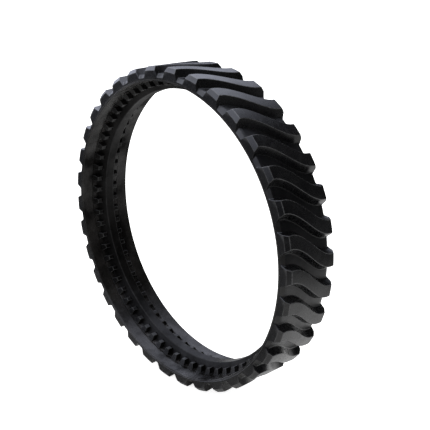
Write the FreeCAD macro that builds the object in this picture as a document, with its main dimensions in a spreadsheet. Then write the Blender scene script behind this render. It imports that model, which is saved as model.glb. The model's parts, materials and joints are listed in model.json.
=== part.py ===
import FreeCAD, Part

import math
import os

import Sketcher

# Endless all-rubber drive track of a compact stand-on loader, standing upright as a free ring.
# Frame: the origin is the centre of the ring, Y runs along the ring's axis, across the belt, and
# +Z is up. "near" is the -Y side and "far" is the +Y side. Angles turn from +X towards +Z.

Vector = FreeCAD.Vector
Y_AXIS = Vector(0, 1, 0)
CENTRE = Vector(0, 0, 0)

# ------------------------------------------------------------ driving dimensions, mm and degrees

DIMENSIONS = [
    ("inner_radius", 574.0, "wheel path, where the road wheels roll"),
    ("belt_half_width", 115.0, "centre of the belt to its side face"),
    ("inner_edge_chamfer", 2.0, "broken inner corner of each side face"),
    ("shoulder_chamfer", 12.0, "slope from the tread floor to each side face"),
    ("edge_strip_width", 12.0, "rubber that seals the sides, as wide as the shoulder slope"),
    ("inner_cover_depth", 5.0, "rubber under the wheels and under the rib"),
    ("fabric_ply_depth", 1.6, "woven ply on the inner cover"),
    ("cord_gum_depth", 3.4, "each of the two gum sheets round the cords"),
    ("bias_ply_depth", 1.8, "each of the two angled cord plies"),
    ("ply_gum_depth", 1.0, "gum between the two angled plies"),
    ("cross_ply_depth", 2.0, "stiff ply that runs straight across"),
    ("cushion_gum_depth", 1.2, "bond between carcass and tread"),
    ("tread_base_depth", 2.8, "floor of the grooves between the bars"),
    ("cord_diameter", 5.0, "one tension cord"),
    ("cord_pitch", 13.0, "cord to cord across the belt"),
    ("cord_count", 16, "cords side by side"),
    ("bar_count", 34, "tread bars round the loop"),
    ("bar_height", 28.5, "bar top above the groove floor"),
    ("bar_end_width", 45.0, "bar top along the belt, at its ends"),
    ("bar_middle_width", 52.0, "bar top along the belt, at its middle"),
    ("bar_steep_draft", 10.0, "lean of the steep wall over the bar height"),
    ("bar_slope_draft", 14.0, "lean of the sloping wall over the bar height"),
    ("bar_swing", 4.9, "degrees that each end of the S is turned off the middle"),
    ("bar_bend_half_width", 98.0, "where the S has straightened out"),
    ("bar_top_half_width", 103.0, "centre of the belt to the end of the bar top"),
    ("bar_end_chamfer_depth", 15.0, "how far the bar end slopes down to the side face"),
    ("bar_phase", 16.3, "degrees from +X to the middle of the first bar"),
    ("rib_height", 38.0, "drive rib above the wheel path"),
    ("rib_crown_half_width", 19.0, "flat top of the drive rib with its corners"),
    ("rib_foot_half_width", 40.0, "foot of the drive rib"),
    ("rib_crown_chamfer", 4.0, "broken corners of the rib crown"),
    ("core_height", 24.0, "stiff core inside the rib"),
    ("core_crown_half_width", 7.0, "narrow edge of the core"),
    ("core_foot_half_width", 14.0, "wide edge of the core"),
    ("core_wrap_depth", 1.5, "fabric wrapped over the core"),
    ("tooth_count", 68, "teeth in one row, two to each tread bar"),
    ("tooth_height", 22.0, "tooth above the wheel path"),
    ("tooth_top_half_width", 50.0, "centre of the belt to the end of a tooth top"),
    ("tooth_foot_half_width", 61.0, "centre of the belt to the foot of a tooth end"),
    ("tooth_top_length", 17.0, "tooth top along the belt"),
    ("tooth_foot_length", 30.0, "tooth foot along the belt"),
    ("tooth_phase", 2.0, "degrees from +X to the middle of the first gap"),
]

BAR_SECTIONS = 17  # cross sections that shape one S bar
OVERRUN = 10.0  # how far a trimming shape runs past the shape it trims

# The carcass and the tread floor, layer by layer from the wheel path outwards.
LAYER_DEPTHS = [
    "inner_cover_depth",
    "fabric_ply_depth",
    "cord_gum_depth",
    "cord_gum_depth",
    "bias_ply_depth",
    "ply_gum_depth",
    "bias_ply_depth",
    "cross_ply_depth",
    "cushion_gum_depth",
    "tread_base_depth",
]


def make_sheet(doc):
    """The spreadsheet that every sub-part reads its sizes from."""
    sheet = doc.addObject("Spreadsheet::Sheet", "Dimensions")
    for row, (alias, value, note) in enumerate(DIMENSIONS, start=1):
        sheet.set(f"A{row}", alias.replace("_", " "))
        sheet.set(f"B{row}", str(value))
        sheet.set(f"C{row}", note)
        sheet.setAlias(f"B{row}", alias)
    doc.recompute()
    return sheet


# ------------------------------------------------------------ expressions on the sheet

def total(*aliases):
    """The expression that adds the named cells."""
    return " + ".join(f"Dimensions.{alias}" for alias in aliases)


def minus(expression):
    return f"-({expression})"


def above_layer(count):
    """The radius on top of the first `count` layers."""
    return total("inner_radius", *LAYER_DEPTHS[:count])


INNER = total("inner_radius")
COVER_TOP = above_layer(1)
CORD_RADIUS = above_layer(3)
BELT_OUTER = above_layer(len(LAYER_DEPTHS))
BELT_SIDE = total("belt_half_width")
CARCASS_SIDE = "Dimensions.belt_half_width - Dimensions.edge_strip_width"
INNER_CHAMFER = "Dimensions.inner_edge_chamfer"
SHOULDER_EDGE = f"{BELT_OUTER} - Dimensions.shoulder_chamfer"
RIB_FOOT = total("rib_foot_half_width")
TOOTH_FOOT = total("tooth_foot_half_width")
BAR_TOP = f"{BELT_OUTER} + Dimensions.bar_height"


def mirrored(corners):
    """The same outline on the near side of the belt."""
    return [(radius, minus(across)) for radius, across in reversed(corners)]


def symmetric(corners):
    """An outline given on the far side, closed by its mirror image on the near side."""
    return corners + mirrored(corners)


# ------------------------------------------------------------ rings, revolved round the Y axis

def new_body(doc, label):
    body = doc.addObject("PartDesign::Body", label)
    body.Label = label
    body.AllowCompound = True
    return body


def new_sketch(body, name, role):
    """An empty sketch on one of the body's own origin planes."""
    sketch = body.newObject("Sketcher::SketchObject", name)
    plane = next(item for item in body.Origin.OriginFeatures if item.Role == role)
    sketch.AttachmentSupport = [(plane, "")]
    sketch.MapMode = "FlatFace"
    return sketch


def place_point(sketch, geometry, vertex, across_x, up_y):
    """Pin one sketch point to a pair of expressions."""
    for kind, expression in (("DistanceX", across_x), ("DistanceY", up_y)):
        value = float(sketch.evalExpression(expression))
        index = sketch.addConstraint(Sketcher.Constraint(kind, -1, 1, geometry, vertex, value))
        sketch.setExpression(f"Constraints[{index}]", expression)


def draw_outline(sketch, corners):
    """A closed polygon whose corners are pairs of expressions."""
    points = []
    for corner in corners:
        first, second = (float(sketch.evalExpression(expression)) for expression in corner)
        points.append(Vector(first, second, 0))
    count = len(points)
    for index in range(count):
        sketch.addGeometry(Part.LineSegment(points[index], points[(index + 1) % count]))
    for index in range(count):
        sketch.addConstraint(Sketcher.Constraint("Coincident", index, 2, (index + 1) % count, 1))
    for index, corner in enumerate(corners):
        place_point(sketch, index, 1, *corner)


def revolve(body, sketch):
    """Turn a radius-across sketch right round the Y axis."""
    turn = body.newObject("PartDesign::Revolution", f"{body.Name}_turn")
    turn.Profile = sketch
    turn.ReferenceAxis = (sketch, ["V_Axis"])
    turn.Angle = 360
    body.Tip = turn
    sketch.Visibility = False
    return turn


def ring(doc, label, corners):
    """A ring whose cross section has these (radius, across) corners."""
    body = new_body(doc, label)
    sketch = new_sketch(body, f"{label}_section", "XY_Plane")
    draw_outline(sketch, corners)
    revolve(body, sketch)
    return body


def flat_ring(doc, label, inside, outside, side=CARCASS_SIDE):
    """A layer of the carcass, from one side of the belt to the other."""
    return ring(doc, label, symmetric([(inside, side), (outside, side)][::-1]))


# ------------------------------------------------------------ inner covers and edges

def wheel_path_outline():
    """The smooth strip outside the teeth, with the belt's inner corner broken."""
    return [
        (COVER_TOP, TOOTH_FOOT),
        (COVER_TOP, BELT_SIDE),
        (f"{INNER} + {INNER_CHAMFER}", BELT_SIDE),
        (INNER, f"{BELT_SIDE} - {INNER_CHAMFER}"),
        (INNER, TOOTH_FOOT),
    ]


def edge_strip_outline():
    """The strip that closes the side of the belt and slopes down from the tread floor."""
    return [
        (COVER_TOP, CARCASS_SIDE),
        (BELT_OUTER, CARCASS_SIDE),
        (SHOULDER_EDGE, BELT_SIDE),
        (COVER_TOP, BELT_SIDE),
    ]


def add_covers(doc):
    return [
        ring(doc, "far_wheel_path", wheel_path_outline()),
        ring(doc, "near_wheel_path", mirrored(wheel_path_outline())),
        flat_ring(doc, "rib_base_strip", INNER, COVER_TOP, TOOTH_FOOT),
        ring(doc, "far_edge_strip", edge_strip_outline()),
        ring(doc, "near_edge_strip", mirrored(edge_strip_outline())),
    ]


# ------------------------------------------------------------ carcass layers and tension cords

def add_plies(doc):
    """The plain layers, with how many layers lie under each."""
    below = {
        "inner_fabric_ply": 1,
        "bias_ply_left": 4,
        "ply_gum": 5,
        "bias_ply_right": 6,
        "cross_ply": 7,
        "cushion_gum": 8,
        "tread_base": 9,
    }
    return [flat_ring(doc, label, above_layer(n), above_layer(n + 1)) for label, n in below.items()]


def add_tension_cords(doc):
    """Closed hoops side by side on the belt's neutral line."""
    body = new_body(doc, "tension_cords")
    sketch = new_sketch(body, "tension_cords_section", "XY_Plane")
    circle = Part.Circle(Vector(1, 1, 0), Vector(0, 0, 1), 1)
    sketch.addGeometry(circle)
    radius = sketch.addConstraint(Sketcher.Constraint("Radius", 0, 1.0))
    sketch.setExpression(f"Constraints[{radius}]", "Dimensions.cord_diameter / 2")
    first_across = "-(Dimensions.cord_count - 1) / 2 * Dimensions.cord_pitch"
    place_point(sketch, 0, 3, CORD_RADIUS, first_across)
    hoop = revolve(body, sketch)
    row = body.newObject("PartDesign::LinearPattern", "tension_cords_row")
    row.Originals = [hoop]
    row.Direction = (sketch, ["V_Axis"])
    row.setExpression("Length", "(Dimensions.cord_count - 1) * Dimensions.cord_pitch")
    row.setExpression("Occurrences", "Dimensions.cord_count")
    body.Tip = row
    return body


def add_cord_gum(doc, cords):
    """Two gum sheets that meet on the cords' centre line, each moulded round half of every cord."""
    sheets = []
    for label, under in (("cord_gum_inner", 2), ("cord_gum_outer", 3)):
        blank = flat_ring(doc, f"{label}_blank", above_layer(under), above_layer(under + 1))
        gum = doc.addObject("Part::Cut", label)
        gum.Base = blank
        gum.Tool = cords
        sheets.append(gum)
    return sheets


# ------------------------------------------------------------ central drive rib

def add_rib(doc):
    crown = f"{INNER} - Dimensions.rib_height"
    core_crown = f"{INNER} - Dimensions.core_height"
    wrap = "Dimensions.core_wrap_depth"
    core_foot = (INNER, "Dimensions.core_foot_half_width")
    core_top = (core_crown, "Dimensions.core_crown_half_width")
    wrap_foot = (INNER, f"Dimensions.core_foot_half_width + {wrap}")
    wrap_top = (f"{core_crown} - {wrap}", f"Dimensions.core_crown_half_width + {wrap}")
    corner = "Dimensions.rib_crown_chamfer"
    rib_side = [
        wrap_top,
        wrap_foot,
        (INNER, RIB_FOOT),
        (f"{crown} + {corner}", "Dimensions.rib_crown_half_width"),
        (crown, f"Dimensions.rib_crown_half_width - {corner}"),
    ]
    wrap_side = [core_top, core_foot, wrap_foot, wrap_top]
    return [
        ring(doc, "drive_rib", symmetric(rib_side)),
        ring(doc, "rib_core_wrap", symmetric(wrap_side)),
        ring(doc, "rib_core", symmetric([core_top, core_foot])),
    ]


# ------------------------------------------------------------ drive teeth

def tooth_row_outline():
    """The section that every tooth is cut from. Its inner side lies on the flank of the rib."""
    top = f"{INNER} - Dimensions.tooth_height"
    flank_rise = "Dimensions.rib_height - Dimensions.rib_crown_chamfer"
    flank_lean = "Dimensions.rib_foot_half_width - Dimensions.rib_crown_half_width"
    flank_at_top = f"{RIB_FOOT} - ({flank_lean}) * Dimensions.tooth_height / ({flank_rise})"
    return [
        (INNER, RIB_FOOT),
        (INNER, TOOTH_FOOT),
        (top, total("tooth_top_half_width")),
        (top, flank_at_top),
    ]


def gap_outline(reach):
    """The space between two teeth, seen along the Y axis, wider towards the centre of the ring."""
    gap_at_foot = f"(({INNER}) * pi / Dimensions.tooth_count - Dimensions.tooth_foot_length / 2)"
    lean = "(Dimensions.tooth_foot_length - Dimensions.tooth_top_length) / 2"
    slope = f"(({lean}) / Dimensions.tooth_height - pi / Dimensions.tooth_count)"
    inner_end = f"{INNER} - Dimensions.tooth_height - {reach}"
    outer_end = f"{INNER} + {reach}"
    inner_gap = f"{gap_at_foot} + {slope} * (Dimensions.tooth_height + {reach})"
    outer_gap = f"{gap_at_foot} - {slope} * {reach}"
    return [
        (inner_end, inner_gap),
        (inner_end, minus(inner_gap)),
        (outer_end, minus(outer_gap)),
        (outer_end, outer_gap),
    ]


def tooth_row(doc, label, outline):
    """A ring of tooth section, cut into separate teeth by a gap repeated round the Y axis."""
    body = ring(doc, label, outline)
    sketch = new_sketch(body, f"{label}_gap", "XZ_Plane")
    draw_outline(sketch, gap_outline(OVERRUN))
    gap = body.newObject("PartDesign::Pocket", f"{label}_cut")
    gap.Profile = sketch
    gap.Type = "ThroughAll"
    gap.Midplane = True
    row = body.newObject("PartDesign::PolarPattern", f"{label}_round")
    row.Originals = [gap]
    row.Axis = (sketch, ["N_Axis"])
    row.Angle = 360
    row.setExpression("Occurrences", "Dimensions.tooth_count")
    body.Tip = row
    sketch.Visibility = False
    body.setExpression("Placement.Rotation.Axis.y", "1")
    body.setExpression("Placement.Rotation.Axis.z", "0")
    body.setExpression("Placement.Rotation.Angle", "-Dimensions.tooth_phase")
    return body


def add_drive_teeth(doc):
    outline = tooth_row_outline()
    return [
        tooth_row(doc, "far_drive_teeth", outline),
        tooth_row(doc, "near_drive_teeth", mirrored(outline)),
    ]


# ------------------------------------------------------------ tread bars

def bar_section(sheet, across):
    """The closed wire of one bar's section in the plane at this distance across the belt."""
    size = {alias: float(sheet.get(alias)) for alias, _, _ in DIMENSIONS}
    floor = size["inner_radius"] + sum(size[alias] for alias in LAYER_DEPTHS)
    top = floor + size["bar_height"]
    bend = max(-1.0, min(1.0, across / size["bar_bend_half_width"])) * math.pi / 2
    middle = math.radians(size["bar_phase"] - size["bar_swing"] * math.sin(bend))
    widening = (size["bar_middle_width"] - size["bar_end_width"]) * math.cos(bend)
    half_top = (size["bar_end_width"] + widening) / 2
    overrun_lean = OVERRUN / size["bar_height"]
    corners = []
    for side, draft in ((-1, size["bar_slope_draft"]), (1, size["bar_steep_draft"])):
        over_top = (top + OVERRUN, side * (half_top - draft * overrun_lean))
        under_floor = (floor - OVERRUN, side * (half_top + draft * (1 + overrun_lean)))
        corners.append((over_top, under_floor))
    outline = [corners[0][1], corners[0][0], corners[1][0], corners[1][1]]
    points = []
    for radius, along in outline:
        x = radius * math.cos(middle) - along * math.sin(middle)
        z = radius * math.sin(middle) + along * math.cos(middle)
        points.append(Vector(x, across, z))
    return Part.makePolygon(points + points[:1])


def add_tread_bars(doc, sheet):
    """Separate S-shaped bars over the tread floor and its shoulders, flush with the belt's sides."""
    bar_end = [
        (BELT_OUTER, CARCASS_SIDE),
        (SHOULDER_EDGE, BELT_SIDE),
        (f"{BAR_TOP} - Dimensions.bar_end_chamfer_depth", BELT_SIDE),
        (BAR_TOP, total("bar_top_half_width")),
    ]
    envelope = ring(doc, "bar_envelope", symmetric(bar_end))
    doc.recompute()
    reach = float(sheet.get("belt_half_width")) + OVERRUN
    stations = [reach * (2 * n / (BAR_SECTIONS - 1) - 1) for n in range(BAR_SECTIONS)]
    sections = [bar_section(sheet, across) for across in stations]
    bar = Part.makeLoft(sections, True, False).common(envelope.Shape).Solids[0]
    count = int(float(sheet.get("bar_count")))
    bars = []
    for index in range(count):
        turned = bar.copy()
        turned.rotate(CENTRE, Y_AXIS, -360 * index / count)
        bars.append(turned)
    feature = doc.addObject("Part::Feature", "tread_bars")
    feature.Label = "tread_bars"
    feature.Shape = Part.makeCompound(bars)
    feature.Placement = FreeCAD.Placement()
    return feature


# ------------------------------------------------------------ build, check and write

def check(doc, nodes):
    """Stop if any object failed or any sub-part has no sound solid."""
    for item in doc.Objects:
        if "Invalid" in item.State or "Error" in item.State:
            raise RuntimeError(f"{item.Name} did not compute: {item.State}")
    for node in nodes:
        if node.Shape.isNull() or not node.Shape.isValid() or not node.Shape.Solids:
            raise RuntimeError(f"{node.Label} has no sound solid")


def main():
    doc = FreeCAD.newDocument("rubber_track")
    sheet = make_sheet(doc)
    cords = add_tension_cords(doc)
    nodes = add_covers(doc) + add_plies(doc) + [cords] + add_cord_gum(doc, cords)
    nodes += add_rib(doc) + add_drive_teeth(doc) + [add_tread_bars(doc, sheet)]
    doc.recompute()
    check(doc, nodes)
    os.makedirs("parts", exist_ok=True)
    for node in nodes:
        node.Shape.exportStep(f"parts/{node.Label}.step")


main()
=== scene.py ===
import json
import math

import bmesh
import bpy
from mathutils import Matrix, Vector


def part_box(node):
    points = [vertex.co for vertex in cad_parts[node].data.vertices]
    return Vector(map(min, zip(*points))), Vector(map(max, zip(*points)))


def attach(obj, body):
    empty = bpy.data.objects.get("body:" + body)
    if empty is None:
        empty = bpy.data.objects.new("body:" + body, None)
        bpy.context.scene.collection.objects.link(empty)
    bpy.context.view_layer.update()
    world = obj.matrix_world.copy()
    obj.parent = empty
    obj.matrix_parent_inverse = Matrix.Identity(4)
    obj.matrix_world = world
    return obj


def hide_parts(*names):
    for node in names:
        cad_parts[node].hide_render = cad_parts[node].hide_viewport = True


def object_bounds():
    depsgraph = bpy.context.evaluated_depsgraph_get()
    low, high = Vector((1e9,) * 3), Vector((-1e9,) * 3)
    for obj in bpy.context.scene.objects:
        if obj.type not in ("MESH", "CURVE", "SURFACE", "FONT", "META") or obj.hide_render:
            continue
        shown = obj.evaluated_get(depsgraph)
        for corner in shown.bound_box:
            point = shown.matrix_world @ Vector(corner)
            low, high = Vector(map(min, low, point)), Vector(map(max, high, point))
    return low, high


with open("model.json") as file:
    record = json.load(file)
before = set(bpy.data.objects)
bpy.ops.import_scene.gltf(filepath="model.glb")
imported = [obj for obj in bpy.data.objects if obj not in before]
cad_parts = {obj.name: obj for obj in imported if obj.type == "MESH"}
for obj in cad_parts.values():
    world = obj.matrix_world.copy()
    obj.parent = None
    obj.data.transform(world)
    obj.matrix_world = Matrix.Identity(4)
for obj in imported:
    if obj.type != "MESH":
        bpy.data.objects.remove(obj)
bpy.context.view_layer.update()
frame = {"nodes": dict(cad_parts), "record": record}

# Endless rubber track standing upright as a free ring. Shapes are worked out in millimetres, from
# the CAD nodes' boxes, and become metres when a mesh is made. Y is the ring's axis, "near" is -Y,
# and angles turn from +X towards +Z.

MM = 0.001
BELT = "root"
SIDES = (("near", -1), ("far", 1))


def half_sizes(node):
    """Half width along Y and outer radius, in mm, of a CAD node that is a ring round the Y axis."""
    low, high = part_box(node)
    return Vector((max(-low.y, high.y), high.z)) / MM


EDGE, FLOOR_R = half_sizes("tread_base")
HALF, TOP_R = half_sizes("tread_bars")
UNDER_FLOOR_R = half_sizes("cushion_gum")[1]
RIB_FOOT, PATH_R = half_sizes("drive_rib")
COVER_R = half_sizes("near_wheel_path")[1]
PATH_EDGE = half_sizes("rib_base_strip")[0]
TOOTH_END = half_sizes("near_drive_teeth")[0]
CROWN_R = next(m["dims"]["r_mm"] for m in frame["record"]["mounts"] if m["name"] == "clear_bore")

# Tread bars, as the CAD model has them. Heights are above the tread floor.
BARS = 34
BAR_PHASE = 16.3
BAR_SWING = 4.9
BEND_HALF = 98.0
END_WIDTH = 45.0
MIDDLE_WIDTH = 52.0
LEAN_BACK = 14.0
LEAN_FRONT = 10.0
TOP_HALF = 103.0
END_DROP = 15.0
BAR_HEIGHT = TOP_R - FLOOR_R

# Moulded finish of the bars: rounding radii, and a thin skirt that blends each foot into the floor.
# A bar's lengthwise outline is closed off well below the floor.
BAR_EDGE_ROUND = 3.2
BAR_CORNER_ROUND = 2.5
BAR_END_ROUND = 5.0
BAR_TIP_ROUND = 3.5
FOOT_FILLET = 6.0
BAR_SKIRT = 8.0
SKIRT_SINK = 0.4
SKIRT_DEPTH = 2.0
BAR_END_GAP = 0.05
WELL_BELOW = -20.0

# Where the sections of a bar are cut: evenly along its top, and closer together on its end slope.
STATION_STEP = 11.0
PAST_EDGE = (1.0, 4.0)
SHORT_OF_SIDE = (5.0, 3.5, 2.2, 1.4)

# The slope from the tread floor down to each side face.
SHOULDER_START = 1.0
SHOULDER_END = -11.4
SHOULDER_ROUND = 2.5
SIDE_ROUND = 1.6

# The fine moulding line on each side face.
LINE_R = FLOOR_R - 15.3
LINE_HALF = 0.7
LINE_FLAT_HALF = 0.3
LINE_PROUD = 0.3
LINE_ROUND = 0.3

# Rounded inner corners of the belt, and how near the wheel path's surface a point ripples with it.
PATH_BEVEL = 2.2
PATH_ROUND = 2.6
PATH_SIDE_ROUND = 1.4
RIPPLE_REACH = 1.0

# Drive rib: half width of its crown, and the thin skirt that blends its foot into the covers.
CROWN_HALF = 19.0
CROWN_ROUND = 5.0
RIB_FILLET = 7.0
RIB_SKIRT = 9.0
RIB_SKIRT_TOP = PATH_R + 0.3
RIB_SKIRT_BOTTOM = PATH_R + 2.0

# Drive teeth, as the CAD model has them. Heights are inwards from the wheel path.
TEETH = 68
TOOTH_PHASE = 2.0
TOOTH_HEIGHT = 22.0
TOOTH_TOP = 17.0
TOOTH_FOOT = 30.0
TOOTH_TOP_END = 50.0
TOOTH_ROOT = 24.0
TOOTH_EDGE_ROUND = 2.6
TOOTH_END_ROUND = 4.0
TOOTH_CORNER_ROUND = 9.0
TOOTH_CORNER_SHARE = 0.55
TOOTH_FILLET = 3.0
TOOTH_END_FILLET = 3.5
TOOTH_SKIRT = 5.0
TOOTH_SINK = 0.35
TOOTH_DEPTH = 2.5
TOOTH_LEAST_RISE = 0.05
TOOTH_RUN_OUT = 6.0
RUN_OUT_TOP = -0.4
RUN_OUT_BOTTOM = -3.0
TOOTH_SECTIONS = (TOOTH_ROOT, 32.0, 40.0, 53.5, 56.0)

RING_SEGMENTS = 408

# A rounded corner takes up at most this share of the straights beside it.
CORNER_SHARE = 0.48


# ---------------------------------------------------------------------------------- shape helpers

def rounded(corners, steps=5):
    """Closed outline as (u, v, wear) points, from (u, v, radius, wear, splits) corners. Wear
    lightens rounded edges, as rubbed wear and as painted highlight lines. Each corner becomes an
    arc, and the straight after it is split into that many pieces."""
    arcs = []
    for i, (u, v, radius, wear, _) in enumerate(corners):
        here = Vector((u, v))
        back = Vector(corners[i - 1][:2]) - here
        ahead = Vector(corners[(i + 1) % len(corners)][:2]) - here
        if radius <= 0:
            arcs.append([(u, v, wear)])
            continue
        angle = back.angle(ahead)
        longest = CORNER_SHARE * min(back.length, ahead.length)
        cut = min(radius / math.tan(angle / 2), longest)
        radius = cut * math.tan(angle / 2)
        start = here + back.normalized() * cut
        bisector = (back.normalized() + ahead.normalized()).normalized()
        middle = here + bisector * (radius / math.sin(angle / 2))
        turn = math.pi - angle
        if back.x * ahead.y - back.y * ahead.x > 0:
            turn = -turn
        arm = start - middle
        arc = []
        for step in range(steps + 1):
            share = step / steps
            swung = Matrix.Rotation(turn * share, 2) @ arm
            worn_and_highlit = wear * math.sin(math.pi * share) ** 0.5
            arc.append((middle.x + swung.x, middle.y + swung.y, worn_and_highlit))
        arcs.append(arc)
    outline = []
    for i, arc in enumerate(arcs):
        outline += arc
        end, start = arc[-1], arcs[(i + 1) % len(arcs)][0]
        splits = corners[i][4]
        for piece in range(1, splits):
            share = piece / splits
            u = end[0] + (start[0] - end[0]) * share
            v = end[1] + (start[1] - end[1]) * share
            outline.append((u, v, 0.0))
    return outline


def blend_at(value, xs, ys):
    """Straight-line table look-up."""
    if value <= xs[0]:
        return ys[0]
    for i in range(1, len(xs)):
        if value <= xs[i]:
            share = (value - xs[i - 1]) / (xs[i] - xs[i - 1])
            return ys[i - 1] + (ys[i] - ys[i - 1]) * share
    return ys[-1]


def corner_inset(across, end, radius):
    """How far a wall stands back where it turns round a vertical edge that ends at 'end'."""
    past = min(radius, max(0.0, across - (end - radius)))
    return radius - math.sqrt(max(0.0, radius * radius - past * past))


def on_ring(radius, angle, across):
    return (radius * math.cos(angle), across, radius * math.sin(angle))


def make_piece(name, points, faces, wear, material, nodes):
    """A mesh piece in place of CAD nodes: points in mm, with a wear value on each point. The wear
    value lightens edges as rubbed wear and as painted highlight lines.
    """
    mesh = bpy.data.meshes.new(name)
    mesh.from_pydata([(x * MM, y * MM, z * MM) for x, y, z in points], [], faces)
    attribute = mesh.attributes.new("wear", "FLOAT", "POINT")
    attribute.data.foreach_set("value", wear)
    work = bmesh.new()
    work.from_mesh(mesh)
    bmesh.ops.recalc_face_normals(work, faces=work.faces)
    work.to_mesh(mesh)
    work.free()
    mesh.shade_smooth()
    piece = bpy.data.objects.new(name, mesh)
    bpy.context.scene.collection.objects.link(piece)
    normals = piece.modifiers.new("even_shading", "WEIGHTED_NORMAL")
    normals.weight = 100
    normals.keep_sharp = True
    piece.data.materials.append(material)
    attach(piece, BELT)
    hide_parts(*nodes)


def make_ring(name, outline, material, nodes, ripple=None):
    """Outline of (radius, across, wear) turned once round the Y axis; wear is rubbed wear and
    painted highlight lines. A ripple moves the points that lie on the wheel path."""
    points, wear, faces = [], [], []
    count = len(outline)
    for segment in range(RING_SEGMENTS):
        angle = 2 * math.pi * segment / RING_SEGMENTS
        for radius, across, worn_and_highlit in outline:
            on_path = radius < PATH_R + RIPPLE_REACH
            shift = ripple(angle, across) if ripple and on_path else 0.0
            points.append(on_ring(radius + shift, angle, across))
            wear.append(worn_and_highlit)
        here = segment * count
        after = (segment + 1) % RING_SEGMENTS * count
        for i in range(count):
            j = (i + 1) % count
            faces.append((here + i, here + j, after + j, after + i))
    make_piece(name, points, faces, wear, material, nodes)


def make_blocks(name, stations, place, number, material, nodes):
    """Repeated solids, each lofted through its stations of (across, outline) and closed at both
    ends. place(number, across, along, height) gives a point."""
    points, wear, faces = [], [], []
    count = len(stations[0][1])
    for block in range(number):
        base = len(points)
        for across, outline in stations:
            for along, height, worn_and_highlit in outline:
                points.append(place(block, across, along, height))
                wear.append(worn_and_highlit)
        for s in range(len(stations) - 1):
            for i in range(count):
                j = (i + 1) % count
                low, high = base + s * count, base + (s + 1) * count
                faces.append((low + i, low + j, high + j, high + i))
        last = base + (len(stations) - 1) * count
        faces.append(tuple(base + i for i in range(count)))
        faces.append(tuple(last + i for i in reversed(range(count))))
    make_piece(name, points, faces, wear, material, nodes)


def end_profile(outline, lowest):
    """The part of a lengthwise outline that slopes down to a block's end, as lists of distance
    across, height and wear, the last being rubbed wear and painted highlight lines."""
    slope = [point for point in outline if point[0] > 1.0 and point[1] > lowest]
    return [list(values) for values in zip(*slope)]


def add_top_wear_and_highlight(outline, height, worn_and_highlit):
    """Adds the end's wear to the points on the top of a block: rubbed wear and painted highlight
    lines.
    """
    top = height - 0.5
    return [(along, h, max(wear, worn_and_highlit if h > top else 0.0)) for along, h, wear in outline]


# --------------------------------------------------------------------------------------- materials

def node(tree, kind, **values):
    made = tree.nodes.new(kind)
    for key, value in values.items():
        if hasattr(made, key):
            setattr(made, key, value)
        else:
            made.inputs[key.replace("_", " ")].default_value = value
    return made


def object_place(tree):
    return node(tree, "ShaderNodeTexCoord").outputs["Object"]


def noise(tree, coordinates, scale, detail, roughness=0.55):
    made = node(tree, "ShaderNodeTexNoise", Scale=scale, Detail=detail, Roughness=roughness)
    tree.links.new(coordinates, made.inputs["Vector"])
    return made.outputs["Fac"]


def spread(tree, source, low, high, to_low, to_high):
    """Maps a value from low..high to to_low..to_high, held at both ends."""
    made = node(tree, "ShaderNodeMapRange", clamp=True)
    for i, value in enumerate((low, high, to_low, to_high)):
        made.inputs[i + 1].default_value = value
    tree.links.new(source, made.inputs[0])
    return made.outputs[0]


def combine(tree, operation, *sources):
    """One value from two or more, each a number or a socket, taken from left to right."""
    result = sources[0]
    for source in sources[1:]:
        made = node(tree, "ShaderNodeMath", operation=operation)
        for i, value in enumerate((result, source)):
            if isinstance(value, (int, float)):
                made.inputs[i].default_value = value
            else:
                tree.links.new(value, made.inputs[i])
        result = made.outputs[0]
    return result


def mix_colour(tree, share, a, b):
    made = node(tree, "ShaderNodeMix", data_type="RGBA")
    tree.links.new(share, made.inputs["Factor"])
    for socket, value in ((made.inputs[6], a), (made.inputs[7], b)):
        if isinstance(value, tuple):
            socket.default_value = (*value, 1.0)
        else:
            tree.links.new(value, socket)
    return made.outputs[2]


def new_surface(name):
    """A material's node tree and its surface shader."""
    material = bpy.data.materials.new(name)
    material.use_nodes = True
    tree = material.node_tree
    return material, tree, tree.nodes["Principled BSDF"]


def add_bump(tree, surface, height, strength, distance):
    bump = node(tree, "ShaderNodeBump", Distance=distance)
    if isinstance(strength, float):
        bump.inputs["Strength"].default_value = strength
    else:
        tree.links.new(strength, bump.inputs["Strength"])
    tree.links.new(height, bump.inputs["Height"])
    tree.links.new(bump.outputs["Normal"], surface.inputs["Normal"])


# Noise scales, in features per metre, and the heights of waves and tears beside that of pits.
CLOUDS, SMUDGES, SPECKS = 7.0, 38.0, 420.0
WAVES, TEARS, PITS = 55.0, 230.0, 900.0
WAVE_HEIGHT, TEAR_HEIGHT = 2.2, 6.0

# How much rougher, duller and coarser the cut sides are.
SIDE_ROUGHER, SIDE_DULLER, SIDE_COARSER = 0.18, 0.72, 0.4

# Metres: how far away a wall still paints shade into a crevice, and the depths of the fine relief.
CREVICE_SHADE_REACH = 0.045
GRAIN_DEPTH = 0.0006
THREAD_DEPTH = 0.0005
STRAND_DEPTH = 0.0006

POWDER = (0.016, 0.0155, 0.015)
# Colour of rounded edges, lighter than the rubber: rubbed wear and painted highlight lines.
SCUFF_AND_HIGHLIGHT = (0.07, 0.07, 0.072)


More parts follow.
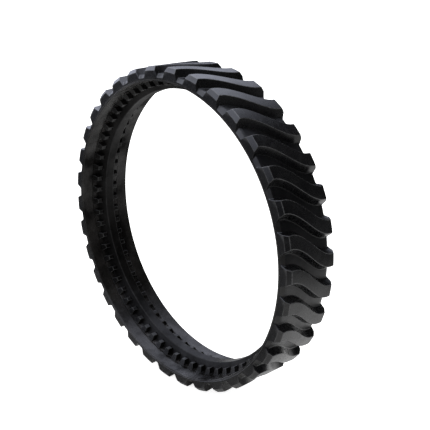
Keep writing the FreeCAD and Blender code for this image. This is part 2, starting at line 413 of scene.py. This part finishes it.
def rubber(name, dark, light, rough, shine, grain, worn_and_highlit, dust=0.0, patchy=0.3, hollow_shade=0.72):
    """Moulded black rubber: mottled colour, patchy sheen, fine mould grain and rubbed edges, whose
    lighter colour is wear and painted highlight lines. Deep corners lose the hollow share of their
    sheen, as painted shade. Faces that look along Y, which are the belt's cut sides, are duller and
    coarser."""
    material, tree, surface = new_surface(name)
    place = object_place(tree)
    clouds = noise(tree, place, CLOUDS, 4.0)
    smudges = noise(tree, place, SMUDGES, 6.0, 0.65)
    specks = noise(tree, place, SPECKS, 3.0)

    mottled = mix_colour(tree, spread(tree, clouds, 0.38, 0.66, 0.0, 1.0), dark, light)
    bloom = combine(tree, "MULTIPLY", spread(tree, smudges, 0.54, 0.78, 0.0, 1.0), 0.25 + dust)
    dusty = mix_colour(tree, bloom, mottled, POWDER)
    # Rounded edges get the lighter edge colour: rubbed wear and painted highlight lines, broken up
    # by marks.
    rubbed_and_highlit = node(tree, "ShaderNodeAttribute", attribute_name="wear").outputs["Fac"]
    marks = combine(tree, "MULTIPLY", smudges, specks)
    broken = spread(tree, marks, 0.16, 0.34, 0.25, 1.0)
    scuff_and_highlight = combine(tree, "MULTIPLY", rubbed_and_highlit, broken, worn_and_highlit)
    tree.links.new(mix_colour(tree, scuff_and_highlight, dusty, SCUFF_AND_HIGHLIGHT), surface.inputs["Base Color"])

    facing = node(tree, "ShaderNodeSeparateXYZ")
    tree.links.new(node(tree, "ShaderNodeTexCoord").outputs["Normal"], facing.inputs[0])
    sideways = combine(tree, "ABSOLUTE", facing.outputs["Y"], 0.0)
    cut_side = spread(tree, sideways, 0.86, 0.97, 0.0, 1.0)
    sheen_patches = spread(tree, smudges, 0.30, 0.70, rough - 0.06, rough + 0.10)
    rougher = combine(tree, "MULTIPLY", cut_side, SIDE_ROUGHER)
    tree.links.new(combine(tree, "ADD", sheen_patches, rougher), surface.inputs["Roughness"])

    polish = spread(tree, clouds, 0.36, 0.60, 1.0 - patchy, 1.0)
    dull = combine(tree, "SUBTRACT", 1.0, combine(tree, "MULTIPLY", cut_side, SIDE_DULLER))
    # Painted shade: the sheen fades in deep corners, where nearby walls close round a point.
    crevice_shade = node(tree, "ShaderNodeAmbientOcclusion", samples=12, Distance=CREVICE_SHADE_REACH)
    unshaded_here = spread(tree, crevice_shade.outputs["AO"], 0.25, 0.85, 1.0 - hollow_shade, 1.0)
    shine_here = combine(tree, "MULTIPLY", polish, dull, unshaded_here, shine)
    tree.links.new(shine_here, surface.inputs["Specular IOR Level"])

    pits = noise(tree, place, PITS, 2.0)
    waves = combine(tree, "MULTIPLY", noise(tree, place, WAVES, 2.0), WAVE_HEIGHT)
    tears = noise(tree, place, TEARS, 4.0, 0.7)
    torn = combine(tree, "MULTIPLY", tears, cut_side, TEAR_HEIGHT)
    coarser = combine(tree, "MULTIPLY", cut_side, SIDE_COARSER)
    relief = combine(tree, "ADD", waves, torn, pits)
    add_bump(tree, surface, relief, combine(tree, "ADD", coarser, grain), GRAIN_DEPTH)
    return material


def woven(name, warp, weft, rough):
    """Rubberised woven ply: crossing threads with gum between them."""
    material, tree, surface = new_surface(name)
    place = object_place(tree)
    thread = {"Scale": 140.0, "Distortion": 0.4}
    along = node(tree, "ShaderNodeTexWave", wave_type="BANDS", bands_direction="Y", **thread)
    across = node(tree, "ShaderNodeTexWave", wave_type="RINGS", rings_direction="Y", **thread)
    for wave in (along, across):
        tree.links.new(place, wave.inputs["Vector"])
    threads = combine(tree, "MAXIMUM", along.outputs["Fac"], across.outputs["Fac"])
    colour = mix_colour(tree, spread(tree, threads, 0.3, 0.9, 0.0, 1.0), warp, weft)
    stain = spread(tree, noise(tree, place, 20.0, 4.0), 0.4, 0.7, 0.0, 0.6)
    tree.links.new(mix_colour(tree, stain, colour, warp), surface.inputs["Base Color"])
    sheen = spread(tree, threads, 0.0, 1.0, rough + 0.1, rough)
    tree.links.new(sheen, surface.inputs["Roughness"])
    add_bump(tree, surface, threads, 0.5, THREAD_DEPTH)
    return material


def drawn_steel(name, brassy, bare):
    """Brass-tinged steel cord with the twist of its strands."""
    material, tree, surface = new_surface(name)
    surface.inputs["Metallic"].default_value = 1.0
    place = object_place(tree)
    strand = {"Scale": 180.0, "Distortion": 1.0}
    twist = node(
        tree, "ShaderNodeTexWave", wave_type="BANDS", bands_direction="DIAGONAL", **strand
    )
    tree.links.new(place, twist.inputs["Vector"])
    plating = spread(tree, noise(tree, place, 60.0, 4.0), 0.35, 0.7, 0.0, 1.0)
    tree.links.new(mix_colour(tree, plating, brassy, bare), surface.inputs["Base Color"])
    sheen = spread(tree, twist.outputs["Fac"], 0.0, 1.0, 0.45, 0.28)
    tree.links.new(sheen, surface.inputs["Roughness"])
    add_bump(tree, surface, twist.outputs["Fac"], 0.6, STRAND_DEPTH)
    return material


# Rib and teeth colours, darker than the wheel path's: painted shade on the rib and teeth inside the
# loop.
INNER_DARK = (0.002, 0.0019, 0.0018)
INNER_LIGHT = (0.005, 0.0047, 0.0045)

tread_rubber = rubber(
    "tread_rubber",
    (0.003, 0.003, 0.0034),
    (0.0055, 0.0055, 0.006),
    rough=0.24,
    shine=0.5,
    grain=0.12,
    worn_and_highlit=1.0,
    hollow_shade=0.62,
)
# The groove floor's colours are darker than the bars': painted shade for the grooves between the
# bars.
groove_rubber = rubber(
    "groove_rubber",
    (0.002, 0.002, 0.0023),
    (0.005, 0.005, 0.0057),
    rough=0.32,
    shine=0.5,
    grain=0.3,
    worn_and_highlit=0.3,
    hollow_shade=0.7,
)
side_rubber = rubber(
    "side_rubber",
    (0.004, 0.0038, 0.0036),
    (0.010, 0.0094, 0.009),
    rough=0.34,
    shine=0.5,
    grain=0.6,
    worn_and_highlit=0.9,
)
# The wheel path's mottle runs much lighter than the other rubbers': random tone, and painted
# reflection patches.
path_rubber = rubber(
    "path_rubber",
    (0.003, 0.0028, 0.0026),
    (0.017, 0.0156, 0.0149),
    rough=0.24,
    shine=0.26,
    grain=0.25,
    worn_and_highlit=0.6,
    dust=0.4,
    patchy=0.9,
)
rib_rubber = rubber(
    "rib_rubber",
    INNER_DARK,
    INNER_LIGHT,
    rough=0.3,
    shine=0.12,
    grain=0.3,
    worn_and_highlit=0.3,
    dust=0.1,
    patchy=0.6,
)
tooth_rubber = rubber(
    "tooth_rubber",
    INNER_DARK,
    INNER_LIGHT,
    rough=0.2,
    shine=0.2,
    grain=0.3,
    worn_and_highlit=0.6,
    dust=0.1,
    patchy=0.6,
)
gum_rubber = rubber(
    "gum_rubber",
    (0.02, 0.017, 0.014),
    (0.04, 0.034, 0.028),
    rough=0.55,
    shine=0.4,
    grain=0.2,
    worn_and_highlit=0.0,
)
core_rubber = rubber(
    "core_rubber",
    (0.012, 0.012, 0.013),
    (0.024, 0.024, 0.026),
    rough=0.6,
    shine=0.4,
    grain=0.3,
    worn_and_highlit=0.0,
)
ply_fabric = woven("ply_fabric", (0.05, 0.045, 0.038), (0.24, 0.22, 0.18), 0.7)
cord_steel = drawn_steel("cord_steel", (0.42, 0.34, 0.20), (0.5, 0.48, 0.44))


# -------------------------------------------------------------------------------------- tread bars

def bend_at(across):
    """How far along its S shape a bar is, from -90 to 90 degrees."""
    return max(-1.0, min(1.0, across / BEND_HALF)) * math.pi / 2


def place_bar(block, across, along, height):
    radius = FLOOR_R + height
    swing = math.radians(BAR_SWING) * math.sin(bend_at(across))
    turn = math.radians(BAR_PHASE + 360.0 * block / BARS) - swing
    return on_ring(radius, turn + math.asin(along / radius), across)


def bar_stations():
    side_face = HALF - BAR_END_GAP
    lengthwise = rounded(
        [
            (0.0, BAR_HEIGHT, 0, 0, 1),
            (TOP_HALF, BAR_HEIGHT, BAR_END_ROUND, 1, 1),
            (side_face, BAR_HEIGHT - END_DROP, BAR_TIP_ROUND, 1, 1),
            (side_face, WELL_BELOW, 0, 0, 1),
            (0.0, WELL_BELOW, 0, 0, 1),
        ],
        steps=6,
    )
    end_us, end_vs, end_ws = end_profile(lengthwise, 0.0)
    on_slope = [EDGE + past for past in PAST_EDGE] + [HALF - short for short in SHORT_OF_SIDE]
    ends = sorted(set(end_us + on_slope))
    plain = [i * STATION_STEP for i in range(10) if i * STATION_STEP < end_us[0] - 2.0]
    stations = []
    for across in sorted([-y for y in ends + plain[1:]] + plain + ends):
        y = abs(across)
        height = blend_at(y, end_us, end_vs)
        worn_and_highlit = blend_at(y, end_us, end_ws) if y > end_us[0] else 0.0
        base = blend_at(y, [EDGE, EDGE + SHOULDER_START, HALF], [0.0, 0.0, SHOULDER_END])
        width = END_WIDTH + (MIDDLE_WIDTH - END_WIDTH) * math.cos(bend_at(across))
        top = width / 2 - corner_inset(y, HALF, BAR_CORNER_ROUND)
        back_foot = -top - LEAN_BACK * (1 - base / BAR_HEIGHT)
        back_top = -top - LEAN_BACK * (1 - height / BAR_HEIGHT)
        front_top = top + LEAN_FRONT * (1 - height / BAR_HEIGHT)
        front_foot = top + LEAN_FRONT * (1 - base / BAR_HEIGHT)
        outline = rounded(
            [
                (back_foot - BAR_SKIRT, base - SKIRT_SINK, 0, 0, 1),
                (back_foot, base, FOOT_FILLET, 0, 2),
                (back_top, height, BAR_EDGE_ROUND, 1, 6),
                (front_top, height, BAR_EDGE_ROUND, 1, 2),
                (front_foot, base, FOOT_FILLET, 0, 1),
                (front_foot + BAR_SKIRT, base - SKIRT_SINK, 0, 0, 1),
                (front_foot + BAR_SKIRT, base - SKIRT_DEPTH, 0, 0, 2),
                (back_foot - BAR_SKIRT, base - SKIRT_DEPTH, 0, 0, 1),
            ]
        )
        stations.append((across, add_top_wear_and_highlight(outline, height, worn_and_highlit)))
    return stations


make_blocks(
    "tread_bars_moulded",
    bar_stations(),
    place_bar,
    BARS,
    tread_rubber,
    ("tread_bars",),
)

# --------------------------------------------------------------------------------- the belt's skin

make_ring(
    "tread_floor",
    rounded(
        [
            (UNDER_FLOOR_R, -EDGE, 0, 0, 1),
            (FLOOR_R, -EDGE, 0, 0, 16),
            (FLOOR_R, EDGE, 0, 0, 1),
            (UNDER_FLOOR_R, EDGE, 0, 0, 4),
        ]
    ),
    groove_rubber,
    ("tread_base",),
)


# Waves of the wheel paths: height in mm, number round the loop, phase, and slant across the belt.
RIPPLES = ((0.22, BARS, 0.8, 0.01), (0.30, 9, 1.3, 0.0), (0.18, 23, 0.0, 0.06))
RIPPLE_FADE = 6.0


def path_ripple(angle, across):
    """The wheel path isn't quite true: it shows the bars behind it and slow hand-built waves."""
    waves = (
        height * math.sin(number * angle + phase + across * slant)
        for height, number, phase, slant in RIPPLES
    )
    from_rib = (abs(across) - PATH_EDGE) / RIPPLE_FADE
    from_side = (HALF - 3.0 - abs(across)) / RIPPLE_FADE
    return sum(waves) * max(0.0, min(1.0, from_rib, from_side))


for side_name, side in SIDES:
    make_ring(
        f"{side_name}_side_rubber",
        rounded(
            [
                (FLOOR_R, side * EDGE, 0, 0, 1),
                (FLOOR_R, side * (EDGE + 1.2), SHOULDER_ROUND, 0, 4),
                (FLOOR_R + SHOULDER_END, side * HALF, SIDE_ROUND, 1, 1),
                (LINE_R + LINE_HALF, side * HALF, 0, 0, 1),
                (LINE_R + LINE_FLAT_HALF, side * (HALF + LINE_PROUD), LINE_ROUND, 1, 1),
                (LINE_R - LINE_FLAT_HALF, side * (HALF + LINE_PROUD), LINE_ROUND, 1, 1),
                (LINE_R - LINE_HALF, side * HALF, 0, 0, 1),
                (COVER_R, side * HALF, 0, 0, 1),
                (COVER_R, side * EDGE, 0, 0, 2),
            ],
            steps=4,
        ),
        side_rubber,
        (f"{side_name}_edge_strip",),
    )
    make_ring(
        f"{side_name}_path_rubber",
        rounded(
            [
                (COVER_R, side * PATH_EDGE, 0, 0, 1),
                (PATH_R, side * PATH_EDGE, 0, 0, 10),
                (PATH_R, side * (HALF - PATH_BEVEL), PATH_ROUND, 1, 1),
                (PATH_R + PATH_BEVEL, side * HALF, PATH_SIDE_ROUND, 1, 1),
                (COVER_R, side * HALF, 0, 0, 4),
            ],
            steps=4,
        ),
        path_rubber,
        (f"{side_name}_wheel_path",),
        path_ripple,
    )

make_ring(
    "rib_foot_rubber",
    rounded(
        [
            (COVER_R, -PATH_EDGE, 0, 0, 1),
            (PATH_R, -PATH_EDGE, 0, 0, 10),
            (PATH_R, PATH_EDGE, 0, 0, 1),
            (COVER_R, PATH_EDGE, 0, 0, 4),
        ]
    ),
    path_rubber,
    ("rib_base_strip",),
)

make_ring(
    "rib_rubber",
    rounded(
        [
            (RIB_SKIRT_BOTTOM, -RIB_FOOT - RIB_SKIRT, 0, 0, 1),
            (RIB_SKIRT_TOP, -RIB_FOOT - RIB_SKIRT, 0, 0, 1),
            (PATH_R, -RIB_FOOT, RIB_FILLET, 0, 3),
            (CROWN_R, -CROWN_HALF, CROWN_ROUND, 1, 6),
            (CROWN_R, CROWN_HALF, CROWN_ROUND, 1, 3),
            (PATH_R, RIB_FOOT, RIB_FILLET, 0, 1),
            (RIB_SKIRT_TOP, RIB_FOOT + RIB_SKIRT, 0, 0, 1),
            (RIB_SKIRT_BOTTOM, RIB_FOOT + RIB_SKIRT, 0, 0, 4),
        ]
    ),
    rib_rubber,
    ("drive_rib",),
)


# ------------------------------------------------------------------------------------- drive teeth

def place_tooth(block, across, along, height):
    radius = PATH_R - height
    turn = math.radians(TOOTH_PHASE + 360.0 * (block + 0.5) / TEETH)
    return on_ring(radius, turn + math.asin(along / radius), across)


def tooth_stations(side):
    lengthwise = rounded(
        [
            (0.0, TOOTH_HEIGHT, 0, 0, 1),
            (TOOTH_TOP_END, TOOTH_HEIGHT, TOOTH_END_ROUND, 1, 1),
            (TOOTH_END, 0.0, TOOTH_END_FILLET, 0, 1),
            (TOOTH_END + TOOTH_RUN_OUT, RUN_OUT_TOP, 0, 0, 1),
            (TOOTH_END + TOOTH_RUN_OUT, RUN_OUT_BOTTOM, 0, 0, 1),
            (0.0, RUN_OUT_BOTTOM, 0, 0, 1),
        ]
    )
    end_us, end_vs, end_ws = end_profile(lengthwise, -1.0)
    stations = []
    for y in sorted({*TOOTH_SECTIONS, *end_us}):
        height = blend_at(y, end_us, end_vs)
        worn_and_highlit = blend_at(y, end_us, end_ws) if y > end_us[0] else 0.0
        inset = corner_inset(y, TOOTH_END + 2.0, TOOTH_CORNER_ROUND) * TOOTH_CORNER_SHARE
        foot = TOOTH_FOOT / 2 - inset
        tip = foot - (TOOTH_FOOT - TOOTH_TOP) / 2 * height / TOOTH_HEIGHT
        base = min(0.0, height - TOOTH_LEAST_RISE) - 0.02
        top = max(height, base + TOOTH_LEAST_RISE)
        outline = rounded(
            [
                (-foot - TOOTH_SKIRT, base - TOOTH_SINK, 0, 0, 1),
                (-foot, base, TOOTH_FILLET, 0, 2),
                (-tip, top, TOOTH_EDGE_ROUND, 1, 4),
                (tip, top, TOOTH_EDGE_ROUND, 1, 2),
                (foot, base, TOOTH_FILLET, 0, 1),
                (foot + TOOTH_SKIRT, base - TOOTH_SINK, 0, 0, 1),
                (foot + TOOTH_SKIRT, base - TOOTH_DEPTH, 0, 0, 2),
                (-foot - TOOTH_SKIRT, base - TOOTH_DEPTH, 0, 0, 1),
            ],
            steps=4,
        )
        stations.append((side * y, add_top_wear_and_highlight(outline, height, worn_and_highlit)))
    return stations


for side_name, side in SIDES:
    make_blocks(
        f"{side_name}_teeth_rubber",
        tooth_stations(side),
        place_tooth,
        TEETH,
        tooth_rubber,
        (f"{side_name}_drive_teeth",),
    )

# ------------------------------------------------------------------ the layers inside the carcass

INSIDE = {
    "rib_core": core_rubber,
    "rib_core_wrap": ply_fabric,
    "inner_fabric_ply": ply_fabric,
    "cord_gum_inner": gum_rubber,
    "cord_gum_outer": gum_rubber,
    "tension_cords": cord_steel,
    "bias_ply_left": ply_fabric,
    "ply_gum": gum_rubber,
    "bias_ply_right": ply_fabric,
    "cross_ply": ply_fabric,
    "cushion_gum": gum_rubber,
}
for name, material in INSIDE.items():
    layer = frame["nodes"][name]
    layer.data.materials.clear()
    layer.data.materials.append(material)

# --------------------------------------------------------------------------------- the pale floor

scene = bpy.context.scene
scene.view_settings.view_transform = "Standard"

# Sizes and distances are in metres. In shiny reflections the floor loses most of its brightness
# between two distances. The camera sees it brighter than its light makes it, so it stays plain.
FLOOR_REACH = 400.0
FADE_FROM, FADE_TO, FADE = 1.2, 2.4, 0.9
FLOOR_GLOW = 0.8

ground = bpy.data.meshes.new("studio_floor")
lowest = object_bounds()[0].z
corners = [(-1, -1), (1, -1), (1, 1), (-1, 1)]
ground.from_pydata(
    [(x * FLOOR_REACH, y * FLOOR_REACH, lowest) for x, y in corners], [], [(0, 1, 2, 3)]
)
studio_floor = bpy.data.objects.new("studio_floor", ground)
scene.collection.objects.link(studio_floor)
paper, sheet_tree, sheet = new_surface("pale_floor")
sheet.inputs["Roughness"].default_value = 0.9
sheet.inputs["Specular IOR Level"].default_value = 0.1
place = object_place(sheet_tree)
tint = mix_colour(sheet_tree, noise(sheet_tree, place, 2.0, 2.0), (0.94,) * 3, (0.96,) * 3)
distance = node(sheet_tree, "ShaderNodeVectorMath", operation="LENGTH")
sheet_tree.links.new(place, distance.inputs[0])
falloff = spread(sheet_tree, distance.outputs["Value"], FADE_FROM, FADE_TO, 0.0, FADE)
ray = node(sheet_tree, "ShaderNodeLightPath")
dimmed = combine(sheet_tree, "MULTIPLY", falloff, ray.outputs["Is Glossy Ray"])
sheet_tree.links.new(mix_colour(sheet_tree, dimmed, tint, (0.0,) * 3), sheet.inputs["Base Color"])
sheet.inputs["Emission Color"].default_value = (1.0, 1.0, 1.0, 1.0)
glow = combine(sheet_tree, "MULTIPLY", ray.outputs["Is Camera Ray"], FLOOR_GLOW)
sheet_tree.links.new(glow, sheet.inputs["Emission Strength"])
ground.materials.append(paper)

# ------------------------------------------------------------------------------------------- light

# Even white light all round; shiny surfaces see a dark room with one big cool softbox overhead. It
# leans to the -X side, with a weaker lobe towards the near side.
EVEN_LIGHT = 1.05
SOFTBOX_LIGHT = 2.9
SOFTBOX_TINT = (0.80, 0.84, 1.0)
LEAN_X, LEAN_Y = -0.6, -0.25
NEAR_LEAN_Y, NEAR_SHARE = -0.5, 0.68
SOFTBOX_EDGE = [(0.0, 0.003), (0.40, 0.01), (0.56, 0.22), (0.68, 0.75), (0.90, 1.0)]

world = bpy.data.worlds.new("studio")
scene.world = world
world.use_nodes = True
sky = world.node_tree
even = sky.nodes["Background"]
even.inputs["Color"].default_value = (1.0, 1.0, 1.0, 1.0)
even.inputs["Strength"].default_value = EVEN_LIGHT
split = node(sky, "ShaderNodeSeparateXYZ")
sky.links.new(node(sky, "ShaderNodeTexCoord").outputs["Generated"], split.inputs[0])
towards_x, towards_y, upwards = split.outputs
main_lobe = combine(
    sky,
    "ADD",
    upwards,
    combine(sky, "MULTIPLY", towards_x, LEAN_X),
    combine(sky, "MULTIPLY", towards_y, LEAN_Y),
)
near_lobe = combine(sky, "ADD", upwards, combine(sky, "MULTIPLY", towards_y, NEAR_LEAN_Y))
near_lobe = combine(sky, "MULTIPLY", near_lobe, NEAR_SHARE)
ramp = node(sky, "ShaderNodeValToRGB")
sky.links.new(combine(sky, "MAXIMUM", main_lobe, near_lobe), ramp.inputs["Fac"])
steps = ramp.color_ramp.elements
while len(steps) < len(SOFTBOX_EDGE):
    steps.new(0.5)
for step, (position, level) in zip(steps, SOFTBOX_EDGE):
    step.position = position
    step.color = (*(level * part for part in SOFTBOX_TINT), 1.0)
softbox = node(sky, "ShaderNodeBackground", Strength=SOFTBOX_LIGHT)
sky.links.new(ramp.outputs["Color"], softbox.inputs["Color"])
chooser = node(sky, "ShaderNodeMixShader")
sky.links.new(node(sky, "ShaderNodeLightPath").outputs["Is Glossy Ray"], chooser.inputs[0])
sky.links.new(even.outputs[0], chooser.inputs[1])
sky.links.new(softbox.outputs[0], chooser.inputs[2])
sky.links.new(chooser.outputs[0], sky.nodes["World Output"].inputs["Surface"])

lamp = bpy.data.lights.new("overhead_softbox", "AREA")
lamp.shape = "RECTANGLE"
lamp.size = 3.0
lamp.size_y = 2.4
lamp.energy = 12.0
overhead = bpy.data.objects.new("overhead_softbox", lamp)
scene.collection.objects.link(overhead)
overhead.location = (-0.8, -0.3, 3.0)
overhead.rotation_euler = (-overhead.location).to_track_quat("-Z", "Y").to_euler()

# ------------------------------------------------------------------------------------------ camera

AZIMUTH, ELEVATION, ROLL = (math.radians(angle) for angle in (50.12, 18.315, -1.9245))
DISTANCE = 5.0875 * PATH_R * MM
SENSOR, LENS = 36.0, 63.09
SHIFT_X, SHIFT_Y = 0.0599, 0.0298

away = Vector(
    (
        math.sin(AZIMUTH) * math.cos(ELEVATION),
        -math.cos(AZIMUTH) * math.cos(ELEVATION),
        math.sin(ELEVATION),
    )
)
level_right = Vector((0, 0, 1)).cross(away).normalized()
level_up = away.cross(level_right)
right = level_right * math.cos(ROLL) + level_up * math.sin(ROLL)
up = level_up * math.cos(ROLL) - level_right * math.sin(ROLL)
lens = bpy.data.cameras.new("camera")
lens.sensor_width = SENSOR
lens.lens = LENS
lens.shift_x = SHIFT_X
lens.shift_y = SHIFT_Y
lens.clip_end = 1000.0
camera = bpy.data.objects.new("camera", lens)
scene.collection.objects.link(camera)
turned = Matrix((right, up, away)).transposed().to_4x4()
camera.matrix_world = Matrix.Translation(away * DISTANCE) @ turned
scene.camera = camera
